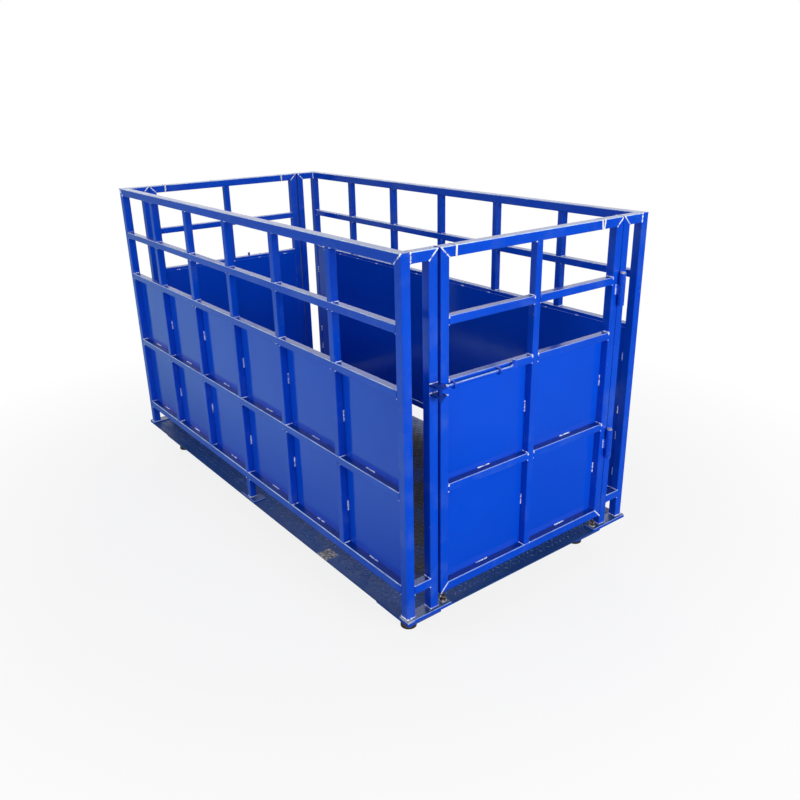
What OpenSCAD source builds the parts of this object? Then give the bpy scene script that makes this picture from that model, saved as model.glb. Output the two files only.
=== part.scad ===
// Livestock weighing crate: a checker plate platform on load cells, two welded
// tube sides with sheet panels, and a hinged door with a slide bolt at each end.
// Origin on the floor under the middle of the platform, +X towards the front door, +Z up.

/* [Platform] */
// Length of the deck plate
deck_l = 2000; // [1800:10:2300]
// Width of the deck plate
deck_w = 1000; // [940:10:1200]
// Thickness of the deck plate
deck_t = 5; // [4:0.5:8]
// Height of the deck's top above the floor
deck_h = 127; // [120:1:150]
// Height of the beams under the deck
beam_h = 50; // [40:1:60]
// Width of the beams under the deck
beam_w = 30; // [25:1:40]
// Wall of the beams under the deck
beam_wall = 3; // [2:0.5:5]
// Corner radius of the beams under the deck
beam_r = 4; // [3:0.5:6]

/* [Load cells] */
// Length of a load cell's housing
housing_l = 168; // [160:1:200]
// Width of a load cell's housing
housing_w = 130; // [100:1:140]
// Height of a load cell's housing
housing_h = 67; // [62:1:75]
// Thickness of the housing's plate
housing_t = 4; // [3:0.5:6]
// Distance from the deck's short edge to the housings
housing_end_inset = 63; // [60:1:90]
// Distance from the deck's long edge to the housings
housing_side_inset = 50; // [44:1:60]
// Length of a load cell
cell_l = 106; // [104:1:112]
// Width of a load cell
cell_w = 30; // [26:1:36]
// Height of a load cell
cell_h = 30; // [26:1:34]
// Distance from the housing's inner end to a load cell's fixed end
cell_end_inset = 11; // [8:1:20]
// Distance from the housing's middle line out to the load cell
cell_shift = 10; // [0:1:16]
// Distance from the fixed end to the first bolt
cell_bolt_inset = 18; // [16:1:20]
// Distance between a cell's two bolts
cell_bolt_pitch = 24; // [23:1:26]
// Distance from the free end to the foot's screw
cell_foot_inset = 20; // [14:1:22]
// Diameter of the sensing pockets in a load cell's sides
cell_pocket_d = 16; // [10:1:18]
// Depth of the sensing pockets
cell_pocket_depth = 9; // [4:0.5:11]
// Thickness of the tapped block between a load cell and its housing
cell_block_t = 20; // [16:0.5:24]
// Width of the tapped block between a load cell and its housing
cell_block_w = 50; // [40:1:70]
// Diameter of the load cell bolts
cell_bolt_d = 12; // [10:1:12]

/* [Feet] */
// Diameter of a foot
foot_d = 52; // [44:1:64]
// Thickness of the rubber sole
foot_sole_t = 6; // [4:0.5:8]
// Height of the steel pad on the sole
foot_pad_h = 14; // [10:1:18]
// Diameter of the pad's neck
foot_neck_d = 26; // [22:1:32]
// Diameter of the foot's screw
foot_screw_d = 12; // [10:1:14]
// Length of the foot's screw inside the load cell
foot_screw_grip = 20; // [12:1:24]

/* [Frame] */
// Height of the side frames above their base plates
frame_h = 1080; // [1040:5:1300]
// Distance from the deck's short edge to the frame
frame_end_inset = 12; // [8:1:14]
// Distance from the deck's long edge to the frame
frame_side_inset = 7; // [4:1:20]
// Side of the outer tubes: posts, top and bottom rails, jambs and door frames
post = 30; // [28:1:34]
// Wall of the outer tubes
post_wall = 2; // [1.5:0.5:4]
// Corner radius of the outer tubes
post_r = 3; // [2:0.5:5]
// Side of the inner tubes: middle rails and uprights
rail = 25; // [20:1:26]
// Wall of the inner tubes
rail_wall = 1.5; // [1:0.5:3]
// Corner radius of the inner tubes
rail_r = 2.5; // [1.5:0.5:4]
// Number of bays along a side
bays = 6; // [4:2:8]
// Height of the third rail's middle above the base plates
rail_3_z = 703; // [640:1:760]
// Clear height under the sides' bottom rails
ground_gap = 76; // [60:1:110]
// Thickness of the sheet panels
sheet_t = 2; // [1:0.5:3]
// How far the sheet laps up on the third rail
sheet_lap = 11; // [6:1:18]

/* [Base plates] */
// Thickness of the base plates
plate_t = 6; // [4:0.5:8]
// How far those under the corner posts reach in past the jambs
plate_jamb_overhang = 42; // [38:1:50]
// Width of the base plates under the corner posts
post_plate_w = 42; // [38:1:60]
// Diameter of the bolts that hold those plates down on the deck
hold_bolt_d = 12; // [10:1:12]
// Distance from such a bolt to the plate's inner end
hold_bolt_inset = 16; // [14:1:18]
// How far those plates stand out past the frame's end
plate_end_overhang = 11; // [2:1:11]
// How far the plates stand out past the frame's side
plate_side_overhang = 6; // [1:1:6]
// Length of the base plate under a middle foot
mid_plate_l = 100; // [60:1:120]
// Width of the base plate under a middle foot
mid_plate_w = 50; // [40:1:60]

/* [Doors] */
// Clear width between a corner post and its jamb
stub_clear = 59; // [45:1:80]
// Gap between a door and its latch jamb
latch_gap = 9.5; // [4:0.5:12]
// Gap between a door and its hinge jamb
hinge_gap = 2.5; // [2:0.5:4]
// Clear height under the doors above the base plates
door_ground = 36; // [30:1:60]

/* [Hinges] */
// Distance from the frame's top down to the upper hinges' middle
upper_hinge_drop = 226; // [120:1:320]
// Height of the lower hinges' middle above the base plates
lower_hinge_z = 320; // [220:1:420]
// Diameter of the hinge barrels
barrel_d = 22; // [20:1:26]
// Length of one knuckle
knuckle_l = 34; // [28:1:40]
// Gap between knuckles
knuckle_gap = 0.5; // [0.4:0.1:1]
// Diameter of the hinge pins
hinge_pin_d = 12; // [10:1:14]
// Width of a knuckle's weld along the tube
hinge_weld_w = 14; // [10:1:18]

/* [Slide bolts] */
// Diameter of the bolt rod
rod_d = 10; // [8:1:12]
// Distance from the rod's tip to its handle
rod_reach = 262; // [240:1:280]
// Distance from the door's edge to the rod's tip when drawn back
rod_tip_inset = 5.5; // [4:0.5:8]
// How far the rod slides into its keeper
rod_travel = 42; // [40:1:46]
// Radius of the handle's bend
rod_bend_r = 14; // [12:1:18]
// Length of the handle above the bend
handle_rise = 8; // [6:1:40]
// Distance from the door's face to the middle of the rod
rod_stand = 11; // [9:0.5:14]
// Diameter of the wire that the rod's guides are bent from
guide_wire_d = 6; // [5:0.5:6]
// Distance from the door's stile to the first guide
guide_inset = 3; // [2:1:10]
// Clearance between the rod and the bolt across its keeper
keeper_gap = 7; // [3:0.5:12]
// Thickness of the keeper lugs
lug_t = 6; // [5:0.5:8]
// Clear height between the two keeper lugs
lug_gap = 21; // [19:0.5:24]
// Diameter of the bolt across the keeper
keeper_bolt_d = 10; // [8:1:10]

/* [Junction box] */
// Length of the junction box
box_l = 120; // [100:1:140]
// Width of the junction box
box_w = 80; // [70:1:100]
// Depth of the junction box without its lid
box_h = 36; // [32:1:40]
// Wall of the junction box
box_wall = 3; // [2:0.5:4]
// Thickness of the junction box lid
box_lid_t = 3; // [2:0.5:5]
// Diameter of the lid screws
box_screw_d = 4; // [3:0.5:5]
// Diameter of the cable bore in a gland
gland_bore_d = 7; // [4:0.5:8]

/* [Hidden] */
$fn = 48;

// Overrun of every cut past the face it opens
over = 1;
// Clearance of a bolt in its drilled hole, all round
hole_fit = 0.5;
// Clearance of a thread in its nut or tapped hole, all round
thread_fit = 0.05;
// Clearance of a hinge pin in its knuckles, all round
pin_fit = 0.05;
// Clearance of the slide bolt in its guides, all round
guide_fit = 0.3;
// Clearance between the hinge barrels and the tubes behind them
barrel_stand = 0.5;
// Root gap left for the weld between the plates of a housing
weld_gap = 0.5;
// Clearance past the end of a screw in its blind hole
end_gap = 1;
// Clearance between a sheet's edges and the frame
sheet_fit = 1;
// Gap that stops the handle at its guide
stop_gap = 1;

// Hexagon sizes as shares of the thread's diameter
hex_flat_share = 1.5;
nut_h_share = 0.8;
head_h_share = 0.6;
thin_nut_share = 0.6;
washer_d_share = 1.85;
washer_t_share = 0.2;
stick_out_share = 0.7;

// Levels of the platform, from the deck down
deck_under = deck_h - deck_t;
cell_top = deck_under - housing_t - cell_block_t;
cell_under = cell_top - cell_h;
pad_top = foot_sole_t + foot_pad_h;
foot_socket_depth = foot_pad_h / 2;

// The frame's outer faces and the jambs' inner faces
end_x = deck_l / 2 - frame_end_inset;
side_y = deck_w / 2 - frame_side_inset;
stub_l = stub_clear + post;
jamb_y = side_y - post - stub_l;

// Load cell housings, and places along a load cell from its fixed end outwards
housing_out_x = deck_l / 2 - housing_end_inset;
housing_in_x = housing_out_x - housing_l;
housing_x = (housing_out_x + housing_in_x) / 2;
housing_y = deck_w / 2 - housing_side_inset - housing_w / 2;
cell_y = housing_y + cell_shift;
cell_in_x = housing_in_x + cell_end_inset;
cell_bolt_xs = [cell_in_x + cell_bolt_inset, cell_in_x + cell_bolt_inset + cell_bolt_pitch];
cell_foot_x = cell_in_x + cell_l - cell_foot_inset;
cell_block_l = 2 * cell_bolt_inset + cell_bolt_pitch;
cell_pocket_x = (cell_bolt_xs[1] + cell_foot_x) / 2;

// Beams under the deck: a long one from housing to housing on each side, one in the middle,
// cross beams between them and an end beam between the two housings of each end
end_beam_l = 2 * housing_y - housing_w;
middle_beam_l = 2 * housing_x - beam_w;
cross_beam_l = housing_y - beam_w;
cross_beam_reach = housing_in_x * 3 / 4;
cross_beam_shares = [-1, -0.5, 0, 0.5, 1];

// Frame levels and bays
base_z = deck_h + plate_t;
frame_top = base_z + frame_h;
bottom_rail_top = ground_gap + post;
door_rail_4_share = 0.51;
rail_2_z = (frame_h - post + rail_3_z + rail / 2) / 2;
side_rail_4_z = (bottom_rail_top + rail_3_z - rail / 2) / 2;
door_rail_4_z = door_ground + post + (rail_3_z - rail / 2 - door_ground - post) * door_rail_4_share;
side_rail_zs = [rail_2_z, rail_3_z, side_rail_4_z];
span_l = 2 * (end_x - post);
bay_l = 2 * (end_x - post / 2) / bays;
sheet_top = rail_3_z - rail / 2 + sheet_lap;

// Base plate under a corner post and its jamb
post_plate_x = end_x + plate_end_overhang - post_plate_w;
post_plate_y = jamb_y - plate_jamb_overhang;
post_plate_l = side_y + plate_side_overhang - post_plate_y;
hold_bolt_x = post_plate_x + post_plate_w / 2;
hold_bolt_y = post_plate_y + hold_bolt_inset;

// Ends and doors: the front door hangs on the right jamb, its bolt is on the left
tube_x = end_x - post / 2;
rail_x = end_x - rail / 2;
door_left = -jamb_y + latch_gap;
door_right = jamb_y - hinge_gap;
door_w = door_right - door_left;
door_h = frame_h - door_ground;
door_mid_y = (door_left + door_right) / 2;
door_cell_w = (door_w - 2 * post - rail) / 2;
door_rail_zs = [rail_2_z, rail_3_z, door_rail_4_z];

// Hinges: the pin stands in front of the seam between door and jamb
hinge_x = end_x + barrel_stand + barrel_d / 2;
hinge_y = jamb_y - hinge_gap / 2;
hinge_zs = [frame_top - upper_hinge_drop, base_z + lower_hinge_z];
knuckle_step = knuckle_l + knuckle_gap;
pin_head_d = (barrel_d + hinge_pin_d) / 2;
pin_head_h = hinge_pin_d / 3;
to_jamb = 1;
to_door = -to_jamb;

// Slide bolt on the third rail's front face, and its keeper on the latch jamb
rod_x = end_x + rod_stand;
rod_z = base_z + rail_3_z;
rod_tip_y = door_left + rod_tip_inset;
handle_y = rod_tip_y + rod_reach;
guide_ys = [
  door_left + post + guide_inset + guide_wire_d / 2,
  handle_y - rod_bend_r - rod_travel - stop_gap - guide_wire_d / 2
];
guide_bend_r = rod_d / 2 + guide_fit + guide_wire_d / 2;
lug_zs = [rod_z - lug_gap / 2 - lug_t, rod_z + lug_gap / 2];
keeper_bolt_x = rod_x + rod_d / 2 + keeper_gap + keeper_bolt_d / 2;
lug_l = keeper_bolt_x - end_x + post / 2;

// Junction box, hung in the middle of a bay between the beams
box_x = cross_beam_reach / 4;
box_y = housing_y / 2;
box_top = deck_under;
box_under = box_top - box_h;
box_boss = 2 * box_wall + box_screw_d;
gland_d = 2 * gland_bore_d;
gland_z = box_top - box_h / 2;
gland_l = gland_d;
gland_pitch = box_w - 2 * box_boss - gland_d;

// Rectangle with rounded corners, or plain where the radius has run out
module rounded_rect(w, h, r) {
  if (r > 0) {
    square([w - 2 * r, h], center = true);
    square([w, h - 2 * r], center = true);
    for (x = [-1, 1]) for (y = [-1, 1])
      translate([x * (w / 2 - r), y * (h / 2 - r)]) circle(r);
  } else {
    square([w, h], center = true);
  }
}

// Rectangular tube along X from 0, centred on its axis, w across Y and h across Z
module rect_tube(l, w, h, wall, r) {
  rotate([0, 90, 0]) linear_extrude(l) difference() {
    rounded_rect(h, w, r);
    rounded_rect(h - 2 * wall, w - 2 * wall, r - wall);
  }
}

// The two stock tubes of the crate along X from 0: outer for the borders, inner for the rails
module outer_tube(l) {
  rect_tube(l, post, post, post_wall, post_r);
}
module inner_tube(l) {
  rect_tube(l, rail, rail, rail_wall, rail_r);
}

// Inner tube along Z from 0, centred on its axis
module standing_tube(l) {
  rotate([0, -90, 0]) inner_tube(l);
}

// What a 45 degree cut takes off the start of a tube whose long face is at z = 0
module mitre_cut() {
  translate([0, post / 2 + over, 0]) rotate([90, 0, 0]) linear_extrude(post + 2 * over)
    polygon([[-over, over], [post + over, -post - over], [-over, -post - over]]);
}

// Outer tube along X whose long face is at z = 0, cut at 45 degrees at its end and, if asked, its start
module mitred_tube(l, cut_start) {
  difference() {
    translate([0, 0, -post / 2]) outer_tube(l);
    translate([l, 0, 0]) mirror([1, 0, 0]) mitre_cut();
    if (cut_start) mitre_cut();
  }
}

// Stands a mitred tube up with its long face towards -X
module stand_up() {
  rotate([0, -90, 0]) children();
}

// Hexagon of the size that fits a thread, along Z from 0
module hexagon(thread_d, h) {
  cylinder(d = thread_d * hex_flat_share / cos(30), h = h, $fn = 6);
}

// Nut with a clear thread bore, along Z from 0
module nut(thread_d, h) {
  difference() {
    hexagon(thread_d, h);
    translate([0, 0, -over]) cylinder(d = thread_d + 2 * thread_fit, h = h + 2 * over);
  }
}

// Copies for both sides of the middle line, and for both ends
module both_sides() {
  children();
  mirror([0, 1, 0]) children();
}
module both_ends() {
  children();
  mirror([1, 0, 0]) children();
}
module four_corners() {
  both_ends() both_sides() children();
}
module left_side() {
  mirror([0, 1, 0]) children();
}
module rear_end() {
  rotate([0, 0, 180]) children();
}

// Platform

module cell_bolt_places() {
  four_corners() for (x = cell_bolt_xs) translate([x, cell_y, 0]) children();
}

module hold_bolt_places() {
  four_corners() translate([hold_bolt_x, hold_bolt_y, 0]) children();
}

module deck_plate() {
  color("midnightblue") difference() {
    translate([-deck_l / 2, -deck_w / 2, deck_under]) cube([deck_l, deck_w, deck_t]);
    hold_bolt_places() translate([0, 0, deck_under - over])
      cylinder(d = hold_bolt_d + 2 * hole_fit, h = deck_t + 2 * over);
  }
}

// Beam along X from 0, hung under the deck
module beam(l) {
  translate([0, 0, deck_under - beam_h / 2]) rect_tube(l, beam_w, beam_h, beam_wall, beam_r);
}

module platform_long_beams() {
  color("royalblue") {
    both_sides() translate([-housing_in_x, housing_y, 0]) beam(2 * housing_in_x);
    translate([-middle_beam_l / 2, 0, 0]) beam(middle_beam_l);
  }
}

module platform_cross_beams() {
  color("royalblue") {
    both_ends() translate([housing_x, -end_beam_l / 2, 0]) rotate([0, 0, 90]) beam(end_beam_l);
    both_sides() for (share = cross_beam_shares)
      translate([cross_beam_reach * share, beam_w / 2, 0]) rotate([0, 0, 90]) beam(cross_beam_l);
  }
}

// Five plates welded to a box under each corner of the deck, open below
module load_cell_housings() {
  wall_h = housing_h - housing_t - weld_gap;
  short_l = housing_w - 2 * housing_t - 2 * weld_gap;
  color("royalblue") four_corners() translate([housing_x, housing_y, deck_under - housing_h]) {
    translate([-housing_l / 2, -housing_w / 2, housing_h - housing_t])
      cube([housing_l, housing_w, housing_t]);
    both_sides() translate([-housing_l / 2, housing_w / 2 - housing_t, 0])
      cube([housing_l, housing_t, wall_h]);
    both_ends() translate([housing_l / 2 - housing_t, -short_l / 2, 0])
      cube([housing_t, short_l, wall_h]);
  }
}

module load_cell_blocks() {
  color("royalblue") difference() {
    four_corners() translate([cell_in_x, cell_y - cell_block_w / 2, cell_top])
      cube([cell_block_l, cell_block_w, cell_block_t]);
    cell_bolt_places() translate([0, 0, cell_top - over])
      cylinder(d = cell_bolt_d + 2 * thread_fit, h = cell_block_t + 2 * over);
  }
}

module load_cell() {
  difference() {
    translate([cell_in_x, -cell_w / 2, cell_under]) cube([cell_l, cell_w, cell_h]);
    for (x = cell_bolt_xs) translate([x, 0, cell_under - over])
      cylinder(d = cell_bolt_d + 2 * hole_fit, h = cell_h + 2 * over);
    translate([cell_foot_x, 0, cell_under - over])
      cylinder(d = foot_screw_d + 2 * thread_fit, h = foot_screw_grip + end_gap + over);
    both_sides() translate([cell_pocket_x, cell_w / 2 - cell_pocket_depth, cell_under + cell_h / 2])
      rotate([-90, 0, 0]) cylinder(d = cell_pocket_d, h = cell_pocket_depth + over);
  }
}

module load_cells() {
  color("silver") four_corners() translate([0, cell_y, 0]) load_cell();
}

module load_cell_bolts() {
  head_h = cell_bolt_d * head_h_share;
  color("silver") cell_bolt_places() translate([0, 0, cell_under]) {
    translate([0, 0, -head_h]) hexagon(cell_bolt_d, head_h);
    cylinder(d = cell_bolt_d, h = cell_h + cell_block_t - end_gap);
  }
}

module foot_places() {
  four_corners() translate([cell_foot_x, cell_y, 0]) children();
}

module foot_screws() {
  screw_bottom = pad_top - foot_socket_depth;
  color("silver") foot_places() translate([0, 0, screw_bottom])
    cylinder(d = foot_screw_d, h = cell_under + foot_screw_grip - screw_bottom);
}

module foot_locknuts() {
  nut_h = foot_screw_d * thin_nut_share;
  color("silver") foot_places() translate([0, 0, cell_under - nut_h]) nut(foot_screw_d, nut_h);
}

module foot_pads() {
  rim_h = foot_pad_h / 3;
  socket_r = foot_screw_d / 2 + thread_fit;
  color("dimgray") foot_places() translate([0, 0, foot_sole_t]) rotate_extrude()
    polygon([
      [0, 0], [foot_d / 2, 0], [foot_d / 2, rim_h], [foot_neck_d / 2, foot_pad_h],
      [socket_r, foot_pad_h], [socket_r, foot_pad_h - foot_socket_depth], [0, foot_pad_h - foot_socket_depth]
    ]);
}

module foot_soles() {
  color("black") foot_places() cylinder(d = foot_d, h = foot_sole_t);
}

// Junction box under the deck, open below and closed by its lid

module box_corners() {
  translate([box_x, box_y, 0]) four_corners()
    translate([box_l / 2 - box_boss / 2, box_w / 2 - box_boss / 2, 0]) children();
}

module gland_places() {
  translate([box_x, box_y, gland_z]) {
    both_ends() both_sides() translate([box_l / 2, gland_pitch / 2, 0]) rotate([0, 90, 0]) children();
    translate([0, box_w / 2, 0]) rotate([-90, 0, 0]) children();
  }
}

module junction_box() {
  color("gray") difference() {
    union() {
      difference() {
        translate([box_x - box_l / 2, box_y - box_w / 2, box_under]) cube([box_l, box_w, box_h]);
        translate([box_x - box_l / 2 + box_wall, box_y - box_w / 2 + box_wall, box_under - over])
          cube([box_l - 2 * box_wall, box_w - 2 * box_wall, box_h - box_wall + over]);
      }
      box_corners() translate([-box_boss / 2, -box_boss / 2, box_under]) cube([box_boss, box_boss, box_h]);
    }
    box_corners() translate([0, 0, box_under - over])
      cylinder(d = box_screw_d + 2 * thread_fit, h = box_h / 2 + over);
    gland_places() translate([0, 0, -box_wall - over])
      cylinder(d = gland_d + 2 * thread_fit, h = box_wall + 2 * over);
  }
}

module junction_box_lid() {
  color("gray") difference() {
    translate([box_x - box_l / 2, box_y - box_w / 2, box_under - box_lid_t]) cube([box_l, box_w, box_lid_t]);
    box_corners() translate([0, 0, box_under - box_lid_t - over])
      cylinder(d = box_screw_d + 2 * hole_fit, h = box_lid_t + 2 * over);
  }
}

module junction_box_screws() {
  head_h = box_screw_d * head_h_share;
  color("silver") box_corners() translate([0, 0, box_under - box_lid_t]) {
    translate([0, 0, -head_h]) cylinder(d = box_screw_d * hex_flat_share, h = head_h);
    cylinder(d = box_screw_d, h = box_lid_t + box_h / 2 - end_gap);
  }
}

module cable_glands() {
  color("black") gland_places() difference() {
    union() {
      translate([0, 0, -box_wall]) cylinder(d = gland_d, h = box_wall + gland_l);
      hexagon(gland_d, gland_l / 2);
    }
    translate([0, 0, -box_wall - over]) cylinder(d = gland_bore_d, h = box_wall + gland_l + 2 * over);
  }
}

// Long sides, drawn on the right and mirrored for the left

module base_plates() {
  color("mediumblue") {
    difference() {
      four_corners() translate([post_plate_x, post_plate_y, deck_h])
        cube([post_plate_w, post_plate_l, plate_t]);
      hold_bolt_places() translate([0, 0, deck_h - over])
        cylinder(d = hold_bolt_d + 2 * hole_fit, h = plate_t + 2 * over);
    }
    both_sides() translate([-mid_plate_l / 2, side_y + plate_side_overhang - mid_plate_w, deck_h])
      cube([mid_plate_l, mid_plate_w, plate_t]);
  }
}

// Bolts up through the deck and the inner ends of the base plates
module hold_down_bolts() {
  head_h = hold_bolt_d * head_h_share;
  grip = deck_t + plate_t + hold_bolt_d * (washer_t_share + nut_h_share + stick_out_share);
  color("silver") hold_bolt_places() translate([0, 0, deck_under]) {
    translate([0, 0, -head_h]) hexagon(hold_bolt_d, head_h);
    cylinder(d = hold_bolt_d, h = grip);
  }
}

module hold_down_washers() {
  washer_t = hold_bolt_d * washer_t_share;
  color("silver") hold_bolt_places() translate([0, 0, base_z]) difference() {
    cylinder(d = hold_bolt_d * washer_d_share, h = washer_t);
    translate([0, 0, -over]) cylinder(d = hold_bolt_d + 2 * hole_fit, h = washer_t + 2 * over);
  }
}

module hold_down_nuts() {
  color("silver") hold_bolt_places() translate([0, 0, base_z + hold_bolt_d * washer_t_share])
    nut(hold_bolt_d, hold_bolt_d * nut_h_share);
}

module mid_feet() {
  color("mediumblue") both_sides() translate([0, side_y - rail / 2, base_z])
    standing_tube(ground_gap);
}

module corner_posts() {
  color("mediumblue") both_ends() translate([-end_x, side_y - post / 2, base_z])
    stand_up() mitred_tube(frame_h, false);
}

module top_rail() {
  color("mediumblue") translate([-end_x, side_y - post / 2, frame_top])
    mitred_tube(2 * end_x, true);
}

module side_rails() {
  color("mediumblue") for (z = side_rail_zs)
    translate([-span_l / 2, side_y - rail / 2, base_z + z]) inner_tube(span_l);
}

module bottom_rail() {
  color("mediumblue") translate([-span_l / 2, side_y - post / 2, base_z + ground_gap + post / 2])
    outer_tube(span_l);
}

// Short uprights between one rail and the next, from the top row down
module uprights() {
  tops = [frame_h - post, rail_2_z - rail / 2, rail_3_z - rail / 2, side_rail_4_z - rail / 2];
  bottoms = [rail_2_z + rail / 2, rail_3_z + rail / 2, side_rail_4_z + rail / 2, bottom_rail_top];
  color("mediumblue") for (row = [0 : len(tops) - 1]) for (i = [1 : bays - 1])
    translate([(i - bays / 2) * bay_l, side_y - rail / 2, base_z + bottoms[row]])
      standing_tube(tops[row] - bottoms[row]);
}

module side_sheet() {
  color("blue") translate([-span_l / 2 + sheet_fit, side_y - rail - sheet_t, base_z + bottom_rail_top])
    cube([span_l - 2 * sheet_fit, sheet_t, sheet_top - bottom_rail_top]);
}

module left_corner_posts() { left_side() corner_posts(); }
module left_top_rail() { left_side() top_rail(); }
module left_rails() { left_side() side_rails(); }
module left_bottom_rail() { left_side() bottom_rail(); }
module left_uprights() { left_side() uprights(); }
module left_sheet() { left_side() side_sheet(); }
module right_corner_posts() { corner_posts(); }
module right_top_rail() { top_rail(); }
module right_rails() { side_rails(); }
module right_bottom_rail() { bottom_rail(); }
module right_uprights() { uprights(); }
module right_sheet() { side_sheet(); }

// Front end, turned half round for the rear

module front_jambs() {
  color("mediumblue") both_sides() translate([tube_x, jamb_y, base_z])
    rotate([0, 0, 90]) stand_up() mitred_tube(frame_h, false);
}

module front_stub_rails() {
  color("mediumblue") both_sides() {
    translate([tube_x, side_y - post, frame_top]) rotate([0, 0, -90])
      mitred_tube(stub_l, false);
    translate([tube_x, side_y - post, base_z + ground_gap + post / 2]) rotate([0, 0, -90])
      outer_tube(stub_l - post);
  }
}

// One knuckle with its weld on the tube behind it, from z = 0; toward is the way to that tube
module knuckle(toward) {
  back_x = -barrel_d / 2 - barrel_stand;
  near_y = toward * hinge_gap / 2;
  far_y = toward * (hinge_gap / 2 + hinge_weld_w);
  rim_x = -(barrel_d / 2) * cos(60);
  rim_y = toward * (barrel_d / 2) * sin(60);
  linear_extrude(knuckle_l) difference() {
    union() {
      circle(d = barrel_d);
      polygon([[back_x, near_y], [back_x, far_y], [rim_x, rim_y], [rim_x, near_y]]);
    }
    circle(d = hinge_pin_d + 2 * pin_fit);
  }
}

module hinge_places() {
  for (z = hinge_zs) translate([hinge_x, hinge_y, z]) children();
}

module front_jamb_knuckles() {
  color("navy") hinge_places() for (step = [-1, 1])
    translate([0, 0, step * knuckle_step - knuckle_l / 2]) knuckle(to_jamb);
}

module front_hinge_pins() {
  pin_l = 3 * knuckle_l + 2 * knuckle_gap;
  color("silver") hinge_places() translate([0, 0, -pin_l / 2]) {
    cylinder(d = hinge_pin_d, h = pin_l + pin_head_h / 2);
    translate([0, 0, pin_l]) cylinder(d = pin_head_d, h = pin_head_h);
  }
}

module front_keeper_lugs() {
  color("navy") for (z = lug_zs) translate([end_x, -jamb_y - post / 2, z])
    linear_extrude(lug_t) difference() {
      union() {
        translate([0, -post / 2]) square([lug_l - post / 2, post]);
        translate([lug_l - post / 2, 0]) circle(d = post);
      }
      translate([lug_l - post / 2, 0]) circle(d = keeper_bolt_d + 2 * hole_fit);
    }
}

module front_keeper_bolt() {
  head_h = keeper_bolt_d * head_h_share;
  nut_h = keeper_bolt_d * nut_h_share;
  grip = lug_gap + 2 * lug_t;
  color("silver") translate([keeper_bolt_x, -jamb_y - post / 2, lug_zs[0]]) {
    translate([0, 0, grip]) hexagon(keeper_bolt_d, head_h);
    translate([0, 0, -nut_h - keeper_bolt_d * stick_out_share])
      cylinder(d = keeper_bolt_d, h = grip + nut_h + keeper_bolt_d * stick_out_share + head_h / 2);
    translate([0, 0, -nut_h]) nut(keeper_bolt_d, nut_h);
  }
}

module front_door_stiles() {
  color("mediumblue") {
    translate([tube_x, door_left, base_z + door_ground]) rotate([0, 0, 90]) stand_up()
      mitred_tube(door_h, true);
    translate([tube_x, door_right, base_z + door_ground]) rotate([0, 0, -90]) stand_up()
      mitred_tube(door_h, true);
  }
}

// Top and bottom rails of the door, mitred into its stiles
module front_door_end_rails() {
  color("mediumblue") {
    translate([tube_x, door_left, frame_top]) rotate([0, 0, 90])
      mitred_tube(door_w, true);
    translate([tube_x, door_left, base_z + door_ground]) mirror([0, 0, 1]) rotate([0, 0, 90])
      mitred_tube(door_w, true);
  }
}

module front_door_upright() {
  color("mediumblue") translate([rail_x, door_mid_y, base_z + door_ground + post])
    standing_tube(door_h - 2 * post);
}

module front_door_rails() {
  color("mediumblue") for (z = door_rail_zs) for (y = [door_left + post, door_mid_y + rail / 2])
    translate([rail_x, y, base_z + z]) rotate([0, 0, 90]) inner_tube(door_cell_w);
}

module front_door_sheet() {
  sheet_bottom = door_ground + post;
  color("blue") translate([
    end_x - rail - sheet_t, door_left + post + sheet_fit, base_z + sheet_bottom
  ]) cube([sheet_t, door_w - 2 * post - 2 * sheet_fit, sheet_top - sheet_bottom]);
}

module front_door_knuckles() {
  color("navy") hinge_places() translate([0, 0, -knuckle_l / 2]) knuckle(to_door);
}

// Guide bent like a staple over the rod, with both legs standing on the rail's face
module bolt_guide() {
  rotate([90, 0, 0]) rotate([0, 0, -90]) rotate_extrude(angle = 180)
    translate([guide_bend_r, 0]) circle(d = guide_wire_d);
  for (z = [-guide_bend_r, guide_bend_r]) translate([-rod_stand, 0, z])
    rotate([0, 90, 0]) cylinder(d = guide_wire_d, h = rod_stand);
}

module front_bolt_guides() {
  color("navy") for (y = guide_ys) translate([rod_x, y, rod_z]) bolt_guide();
}

module front_slide_bolt() {
  straight_l = rod_reach - rod_bend_r;
  color("royalblue") translate([rod_x, rod_tip_y, rod_z]) {
    rotate([-90, 0, 0]) cylinder(d = rod_d, h = straight_l);
    translate([0, straight_l, rod_bend_r]) rotate([90, 0, 90]) rotate([0, 0, -90])
      rotate_extrude(angle = 90) translate([rod_bend_r, 0]) circle(d = rod_d);
    translate([0, rod_reach, rod_bend_r]) cylinder(d = rod_d, h = handle_rise);
  }
}

module rear_jambs() { rear_end() front_jambs(); }
module rear_stub_rails() { rear_end() front_stub_rails(); }
module rear_jamb_knuckles() { rear_end() front_jamb_knuckles(); }
module rear_hinge_pins() { rear_end() front_hinge_pins(); }
module rear_keeper_lugs() { rear_end() front_keeper_lugs(); }
module rear_keeper_bolt() { rear_end() front_keeper_bolt(); }
module rear_door_stiles() { rear_end() front_door_stiles(); }
module rear_door_end_rails() { rear_end() front_door_end_rails(); }
module rear_door_upright() { rear_end() front_door_upright(); }
module rear_door_rails() { rear_end() front_door_rails(); }
module rear_door_sheet() { rear_end() front_door_sheet(); }
module rear_door_knuckles() { rear_end() front_door_knuckles(); }
module rear_bolt_guides() { rear_end() front_bolt_guides(); }
module rear_slide_bolt() { rear_end() front_slide_bolt(); }

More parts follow.
